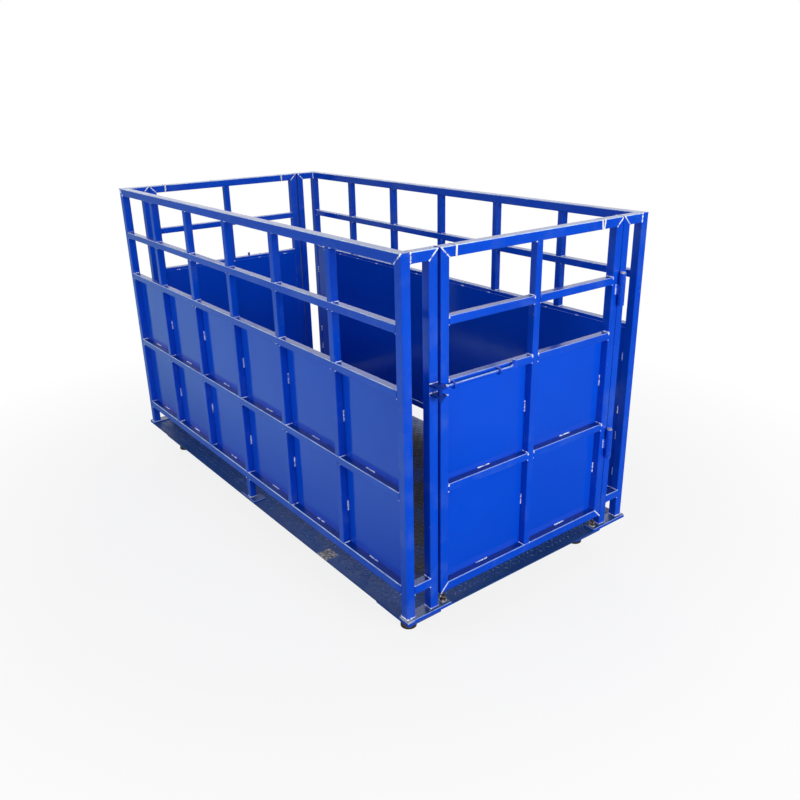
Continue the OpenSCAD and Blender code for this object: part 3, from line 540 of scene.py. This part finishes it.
# Painted glints: pale patches on the bead crowns.
glint_spots = span(nodes, links, grain(nodes, links, place, 110.0, 3.0), 0.38, 0.52, 0.10, 1.0)
glint_breaks = span(nodes, links, grain(nodes, links, place, 9.0, 2.0), 0.34, 0.52, 0.30, 1.0)
links.new(blend_colours(nodes, links, times(nodes, links, glint_spots, glint_breaks), tone, BEAD_GLINT),
          shader.inputs["Base Color"])
uneven_gloss(nodes, links, place, shader, 90.0, 0.12, 0.26)
shader.inputs["Coat Weight"].default_value = 0.6
shader.inputs["Coat Roughness"].default_value = 0.06
relief(nodes, links, shader, grain(nodes, links, place, 420.0, 2.0), 0.15, 0.0003)


def run_bead(start, end, fat=1.0):
    bm = bmesh.new()
    start, end = Vector(start), Vector(end)
    run = end - start
    ripples = max(2, round(run.length / RIPPLE_STEP))
    lie = run.to_track_quat("X", "Z").to_matrix().to_4x4()
    for ripple in range(ripples):
        swell = fat * (1.0 + 0.16 * sin(2.4 * ripple + 37.0 * start.x + 53.0 * start.z))
        seat = Matrix.Translation(start + run * ((ripple + 0.5) / ripples))
        size = Matrix.Diagonal((RIPPLE_HALF[0], RIPPLE_HALF[1] * swell, RIPPLE_HALF[2] * swell, 1.0))
        bmesh.ops.create_uvsphere(bm, u_segments=8, v_segments=4, radius=1.0, matrix=seat @ lie @ size)
    return bm


def gather(whole, share):
    passing = bpy.data.meshes.new("passing")
    share.to_mesh(passing)
    share.free()
    whole.from_mesh(passing)
    bpy.data.meshes.remove(passing)


def bead_piece(name, seams, body):
    bm = bmesh.new()
    for start, end in seams:
        gather(bm, run_bead(start, end))
    for face in bm.faces:
        face.smooth = True
    return finished_piece(name, bm, bead_enamel, body)


def stitch(middle, along, half):
    reach = [half if axis == along else 0.0 for axis in "XYZ"]
    return [m - r for m, r in zip(middle, reach)], [m + r for m, r in zip(middle, reach)]


def half_turn(seams):
    return [((-a[0], -a[1], a[2]), (-b[0], -b[1], b[2])) for a, b in seams]


side_seams = []
for side in (-1, 1):
    face = side * SIDE_FACE
    back = side * (SIDE_FACE - RAIL)
    levels = [BOTTOM_RAIL[1], FRAME_TOP - POST]
    levels += [z + lift for z in RAIL_ZS for lift in (-RAIL / 2, RAIL / 2)]
    for x in UPRIGHT_XS:
        for z in levels:
            for edge in (-RAIL / 2, RAIL / 2):
                side_seams.append(((x + edge, back, z), (x + edge, face, z)))
    for end in (-1, 1):
        inner = end * (END_FACE - POST)
        for z in RAIL_ZS:
            for lift in (-RAIL / 2, RAIL / 2):
                side_seams.append(((inner, back, z + lift), (inner, face, z + lift)))
        for z in BOTTOM_RAIL:
            side_seams.append(((inner, side * STUB_OUT, z), (inner, face, z)))
        for y in (face, side * STUB_OUT):
            side_seams.append(((end * END_FACE, y, FRAME_TOP), (inner, y, FRAME_TOP - POST)))
        for x in (end * END_FACE, inner):
            side_seams.append(((x, side * STUB_OUT, PLATE_TOP), (x, face, PLATE_TOP)))
        for y in (face, side * STUB_OUT):
            side_seams.append(((inner, y, PLATE_TOP), (end * END_FACE, y, PLATE_TOP)))
    for edge in (-RAIL / 2, RAIL / 2):
        for z in (PLATE_TOP, BOTTOM_RAIL[0]):
            side_seams.append(((edge, back, z), (edge, face, z)))
    side_seams.append(((-RAIL / 2, face, PLATE_TOP), (RAIL / 2, face, PLATE_TOP)))
bead_piece("side_frame_welds", side_seams, "crate")

stitch_seams = []
for side in (-1, 1):
    skin = side * (SIDE_FACE - RAIL + STITCH_LIFT)
    for number, x in enumerate(BAY_XS):
        drift = STITCH_DRIFT * sin(5.0 * number + side)
        for z in (BOTTOM_RAIL[1], RAIL_ZS[2] + RAIL / 2):
            stitch_seams.append(stitch((x + drift, skin, z), "X", LEDGE_STITCH))
        for z in (RAIL_ZS[2] - RAIL / 2, RAIL_ZS[1] - RAIL / 2):
            stitch_seams.append(stitch((x - drift, skin, z), "X", SHORT_STITCH))
    for number, x in enumerate(UPRIGHT_XS):
        drift = UPRIGHT_STITCH_DRIFT * sin(3.0 * number + side)
        for z in UPRIGHT_STITCH_ZS:
            for edge in (-RAIL / 2, RAIL / 2):
                stitch_seams.append(stitch((x + edge, skin, z + drift), "Z", SHORT_STITCH))
    inside = side * (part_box("right_sheet")[0].y - INSIDE_LIFT)
    for end in (-1, 1):
        for number, z in enumerate(POST_STITCH_ZS):
            drift = STITCH_DRIFT * sin(4.0 * number + end + 2 * side)
            x = end * (END_FACE - POST)
            stitch_seams.append(stitch((x, inside, z + drift), "Z", POST_STITCH))
    lip = side * (SIDE_FACE - RAIL - LIP_SINK)
    lip_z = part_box("left_sheet")[1].z
    for dot in range(-6, 7):
        stitch_seams.append(stitch((LIP_DOT_STEP * dot, lip, lip_z), "X", LIP_DOT))
bead_piece("side_sheet_welds", stitch_seams, "crate")

end_seams = []
for side in (-1, 1):
    jamb_out = side * (JAMB_IN + POST)
    jamb_in = side * JAMB_IN
    post_in = side * STUB_OUT
    for x in (END_FACE, END_FACE - POST):
        end_seams.append(((x, jamb_in, FRAME_TOP), (x, jamb_out, FRAME_TOP - POST)))
        end_seams.append(((x, post_in, FRAME_TOP - POST), (x, post_in, FRAME_TOP)))
        end_seams.append(((x, jamb_in, PLATE_TOP), (x, jamb_out, PLATE_TOP)))
    for z in BOTTOM_RAIL:
        for y in (jamb_out, post_in):
            end_seams.append(((END_FACE - POST, y, z), (END_FACE, y, z)))
    for y in (jamb_out, jamb_in):
        end_seams.append(((END_FACE - POST, y, PLATE_TOP), (END_FACE, y, PLATE_TOP)))
keeper_low, keeper_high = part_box("front_keeper_lugs")
for z in (keeper_low.z, keeper_low.z + KEEPER_PLATE, keeper_high.z):
    end_seams.append(((END_FACE, keeper_low.y, z), (END_FACE, -JAMB_IN - KEEPER_SEAM_PAST, z)))
for z in (keeper_low.z + KEEPER_PLATE, keeper_high.z):
    end_seams.append([(keeper_high.x - short, keeper_high.y, z) for short in KEEPER_TIP_SEAM])
jamb_knuckle_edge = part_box("front_jamb_knuckles")[1].y
HINGE_ZS = (
    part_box("front_door_knuckles")[0].z + KNUCKLE_HALF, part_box("front_door_knuckles")[1].z - KNUCKLE_HALF,
)
for z in HINGE_ZS:
    for step in (-KNUCKLE_STEP, KNUCKLE_STEP):
        end_seams.append(stitch((END_FACE, jamb_knuckle_edge, z + step), "Z", KNUCKLE_BEAD))
bead_piece("front_end_welds", end_seams, "crate")
bead_piece("rear_end_welds", half_turn(end_seams), "crate")


# Weld beads of the doors: along the four mitres, at the rails' ends and, in short stitches,
# where the sheet meets the tubes.
stiles_low, stiles_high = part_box("front_door_stiles")
DOOR_MID = (stiles_low.y + stiles_high.y) / 2
DOOR_RAIL_ZS = (RAIL_ZS[0], RAIL_ZS[1], PLATE_TOP + 0.384495)
DOOR_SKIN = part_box("front_door_sheet")[1].x + STITCH_LIFT
DOOR_LEDGE_STITCH = 0.024
DOOR_SHORT_STITCH = 0.016
DOOR_STITCHES_APART = 0.18
STILE_STITCH_ZS = (0.36, 0.68)
DOOR_LIP_SINK = 0.0022
DOOR_LIP_DOT_STEP = 0.14
RAIL_NIB = 0.007

door_seams = []
for x in (END_FACE, END_FACE - POST):
    for y, inward in ((stiles_low.y, POST), (stiles_high.y, -POST)):
        for z, up in ((stiles_low.z, POST), (stiles_high.z, -POST)):
            door_seams.append(((x, y, z), (x, y + inward, z + up)))
rail_ends = (stiles_low.y + POST, DOOR_MID - RAIL / 2, DOOR_MID + RAIL / 2, stiles_high.y - POST)
for z in DOOR_RAIL_ZS:
    for y in rail_ends:
        door_seams.append(((END_FACE, y, z + RAIL / 2 - RAIL_NIB), (END_FACE, y, z + RAIL / 2)))
        for lift in (-RAIL / 2, RAIL / 2):
            door_seams.append(((END_FACE - RAIL, y, z + lift), (END_FACE, y, z + lift)))
for z in (stiles_low.z + POST, stiles_high.z - POST):
    for y in rail_ends[1:3]:
        door_seams.append(((END_FACE - RAIL, y, z), (END_FACE, y, z)))
for y in (DOOR_MID - DOOR_STITCHES_APART, DOOR_MID + DOOR_STITCHES_APART):
    for z in (stiles_low.z + POST, DOOR_RAIL_ZS[2] + RAIL / 2):
        door_seams.append(stitch((DOOR_SKIN, y, z), "Y", DOOR_LEDGE_STITCH))
    for z in (DOOR_RAIL_ZS[2] - RAIL / 2, DOOR_RAIL_ZS[1] - RAIL / 2):
        door_seams.append(stitch((DOOR_SKIN, y, z), "Y", DOOR_SHORT_STITCH))
for y in rail_ends:
    for z in STILE_STITCH_ZS:
        door_seams.append(stitch((DOOR_SKIN, y, z), "Z", SHORT_STITCH))
lip_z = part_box("front_door_sheet")[1].z
for dot in range(-2, 3):
    y = DOOR_MID + DOOR_LIP_DOT_STEP * dot
    door_seams.append(stitch((DOOR_SKIN - DOOR_LIP_SINK, y, lip_z), "Y", LIP_DOT))
door_knuckle_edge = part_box("front_door_knuckles")[0].y
for z in HINGE_ZS:
    door_seams.append(stitch((END_FACE, door_knuckle_edge, z), "Z", KNUCKLE_BEAD))
bead_piece("front_door_welds", door_seams, "front_door")
bead_piece("rear_door_welds", half_turn(door_seams), "rear_door")


# Tie bands: white nylon strips drawn tight round each door's top rail. The front door has one near
# the latch and a crossed pair near the hinges; the rear door has one near each end.
BAND_WHITE = (0.86, 0.86, 0.85, 1.0)
BAND_SOILED = (0.70, 0.69, 0.66, 1.0)
BAND_WIDTH = 0.006
BAND_WALL = 0.0007
BAND_BEND = 0.0033
FRONT_BANDS = ((-0.311, -3.0), (0.272, 7.0), (0.282, -7.0))
REAR_BANDS = ((0.300, 4.0), (-0.284, -2.0))

band_nylon, nodes, links, shader, place = new_finish("band_nylon")
links.new(blend_colours(nodes, links, grain(nodes, links, place, 80.0, 4.0), BAND_WHITE, BAND_SOILED),
          shader.inputs["Base Color"])
uneven_gloss(nodes, links, place, shader, 60.0, 0.35, 0.5)
relief(nodes, links, shader, grain(nodes, links, place, 700.0, 1.0), 0.1, 0.0002)


def tie_band(y, lean):
    bm = bmesh.new()
    hoop = POST + 2 * BAND_WALL
    bmesh.ops.create_cube(bm, size=1.0, matrix=Matrix.Diagonal((hoop, BAND_WIDTH, hoop, 1.0)))
    corners = [edge for edge in bm.edges if abs(edge.verts[0].co.y - edge.verts[1].co.y) > BAND_WIDTH / 2]
    bmesh.ops.bevel(
        bm, geom=corners, offset=BAND_BEND, offset_type="OFFSET", segments=4, profile=0.5, affect="EDGES",
        material=-1,
    )
    bm.normal_update()
    ends = [face for face in bm.faces if abs(face.normal.y) > 0.5]
    bmesh.ops.delete(bm, geom=ends, context="FACES_ONLY")
    bmesh.ops.solidify(bm, geom=bm.faces[:], thickness=BAND_WALL * 0.9)
    bmesh.ops.recalc_face_normals(bm, faces=bm.faces[:])
    seat = Matrix.Translation((END_FACE - POST / 2, y, FRAME_TOP - POST / 2))
    bmesh.ops.transform(bm, matrix=seat @ Matrix.Rotation(radians(lean), 4, "X"), verts=bm.verts[:])
    return bm


def tie_bands(bands, turned):
    bm = bmesh.new()
    for y, lean in bands:
        gather(bm, tie_band(y, lean))
    bmesh.ops.transform(bm, matrix=turned, verts=bm.verts[:])
    return bm


front_bands = tie_bands(FRONT_BANDS, Matrix.Identity(4))
finished_piece("front_door_bands", front_bands, band_nylon, "front_door")
rear_bands = tie_bands(REAR_BANDS, Matrix.Rotation(pi, 4, "Z"))
finished_piece("rear_door_bands", rear_bands, band_nylon, "rear_door")


# Studio: a pale floor that keeps the shadow, a white surround, and four soft lamps.
# The key stands in front of the door, a fill beside the crate reaches over its side, a weak one lies low
# and the last lights the far side and the rear door.
FLOOR_PALE = (0.82, 0.82, 0.82, 1.0)
FLOOR_MIRRORED = (0.66, 1.0, 1.0, 1.0)
FLOOR_HALF = 30.0
SHADOW_FADES = (1.2, 2.4)
SHADE_BESIDE = (0.5, 1.0)
DIM_BESIDE = (1.9, 3.4)
DIM_LENGTHWISE = (0.3, 1.3)
LAMPS_AIM = Vector((0.3, 0.0, 0.6))

floor_paint = bpy.data.materials.new("floor_paint")
floor_paint.use_nodes = True
nodes = floor_paint.node_tree.nodes
links = floor_paint.node_tree.links
nodes.remove(nodes["Principled BSDF"])
matt = nodes.new("ShaderNodeBsdfDiffuse")
matt.inputs["Color"].default_value = FLOOR_PALE
white = nodes.new("ShaderNodeEmission")
seen = nodes.new("ShaderNodeLightPath")
ground = nodes.new("ShaderNodeTexCoord")
reach = nodes.new("ShaderNodeVectorMath")
reach.operation = "LENGTH"
links.new(ground.outputs["Object"], reach.inputs[0])
away = span(nodes, links, reach.outputs["Value"], *SHADOW_FADES, 0.84, 1.0)
cover = nodes.new("ShaderNodeMixShader")
links.new(times(nodes, links, seen.outputs["Is Camera Ray"], away), cover.inputs["Fac"])
links.new(matt.outputs["BSDF"], cover.inputs[1])
links.new(white.outputs["Emission"], cover.inputs[2])
# For glossy rays the floor glows as a lit yard, with painted shade near the crate and dimmer far off and
# lengthwise.
yard = nodes.new("ShaderNodeEmission")
yard.inputs["Color"].default_value = FLOOR_MIRRORED
axes = axes_of(nodes, links, ground.outputs["Object"])
beside = from_middle(nodes, links, axes["Y"])
in_shade = span(nodes, links, beside, *SHADE_BESIDE, 0.2, 1.0)
lengthwise = span(nodes, links, axes["X"], *DIM_LENGTHWISE, 0.65, 0.125)
far_off = span(nodes, links, beside, *DIM_BESIDE, 1.0, 0.5)
near_by = times(nodes, links, in_shade, far_off)
links.new(times(nodes, links, near_by, lengthwise), yard.inputs["Strength"])
mirrored = nodes.new("ShaderNodeMixShader")
links.new(seen.outputs["Is Glossy Ray"], mirrored.inputs["Fac"])
links.new(cover.outputs["Shader"], mirrored.inputs[1])
links.new(yard.outputs["Emission"], mirrored.inputs[2])
links.new(mirrored.outputs["Shader"], nodes["Material Output"].inputs["Surface"])

bm = bmesh.new()
bmesh.ops.create_grid(bm, x_segments=2, y_segments=2, size=FLOOR_HALF)
floor_mesh = bpy.data.meshes.new("floor")
bm.to_mesh(floor_mesh)
bm.free()
floor_mesh.materials.append(floor_paint)
floor = bpy.data.objects.new("floor", floor_mesh)
bpy.context.scene.collection.objects.link(floor)

world = bpy.data.worlds.new("surround")
bpy.context.scene.world = world
world.use_nodes = True
nodes = world.node_tree.nodes
links = world.node_tree.links
back = nodes["Background"]
back.inputs["Color"].default_value = (1.0, 1.0, 1.0, 1.0)
seen = nodes.new("ShaderNodeLightPath")
shown = span(nodes, links, seen.outputs["Is Camera Ray"], 0.0, 1.0, 0.24, 1.0)
sky = nodes.new("ShaderNodeTexCoord")
overhead = span(nodes, links, axes_of(nodes, links, sky.outputs["Generated"])["Z"], 0.30, 0.9, 1.25, 3.4)
strength = nodes.new("ShaderNodeMix")
strength.data_type = "FLOAT"
links.new(seen.outputs["Is Glossy Ray"], strength.inputs["Factor"])
links.new(shown, strength.inputs[2])
links.new(overhead, strength.inputs[3])
links.new(strength.outputs[0], back.inputs["Strength"])

LAMPS = (
    ("key_lamp", (5.8, -0.2, 1.8), (2.4, 2.4), 218.0),
    ("side_lamp", (0.3, -4.5, 3.0), (2.4, 1.2), 52.0),
    ("low_lamp", (0.0, -2.7, 0.4), (2.0, 0.6), 7.0),
    ("back_lamp", (-4.8, 3.6, 1.7), (2.4, 2.0), 130.0),
)
for name, at, size, power in LAMPS:
    lamp = bpy.data.lights.new(name, "AREA")
    lamp.shape = "RECTANGLE"
    lamp.size, lamp.size_y = size
    lamp.energy = power
    stand = bpy.data.objects.new(name, lamp)
    stand.visible_glossy = False
    stand.visible_camera = False
    aim = LAMPS_AIM - Vector(at)
    stand.matrix_world = Matrix.Translation(at) @ aim.to_track_quat("-Z", "Y").to_matrix().to_4x4()
    bpy.context.scene.collection.objects.link(stand)


# Camera: in front of the door and to the left of it, a little above the top rails.
# Its lens is given in pixels of an 800 by 800 picture.
CAMERA_AT = (2.5082, -1.6606, 1.5871)
CAMERA_AZIMUTH = radians(52.74)
CAMERA_RISE = radians(21.539)
CAMERA_ROLL = radians(-1.169)
LENS_PIXELS = 788.07
PICTURE_PIXELS = 800
SENSOR_WIDTH = 36.0

toward = Vector((
    sin(CAMERA_AZIMUTH) * cos(CAMERA_RISE), -cos(CAMERA_AZIMUTH) * cos(CAMERA_RISE), sin(CAMERA_RISE),
))
level_right = (-toward).cross(Vector((0, 0, 1))).normalized()
level_up = level_right.cross(-toward)
right = cos(CAMERA_ROLL) * level_right + sin(CAMERA_ROLL) * level_up
up = -sin(CAMERA_ROLL) * level_right + cos(CAMERA_ROLL) * level_up
lens = bpy.data.cameras.new("camera")
lens.sensor_fit = "HORIZONTAL"
lens.sensor_width = SENSOR_WIDTH
lens.lens = LENS_PIXELS / PICTURE_PIXELS * SENSOR_WIDTH
camera = bpy.data.objects.new("camera", lens)
camera.matrix_world = Matrix.Translation(CAMERA_AT) @ Matrix((right, up, toward)).transposed().to_4x4()
bpy.context.scene.collection.objects.link(camera)
bpy.context.scene.camera = camera
bpy.context.scene.view_settings.view_transform = "Standard"
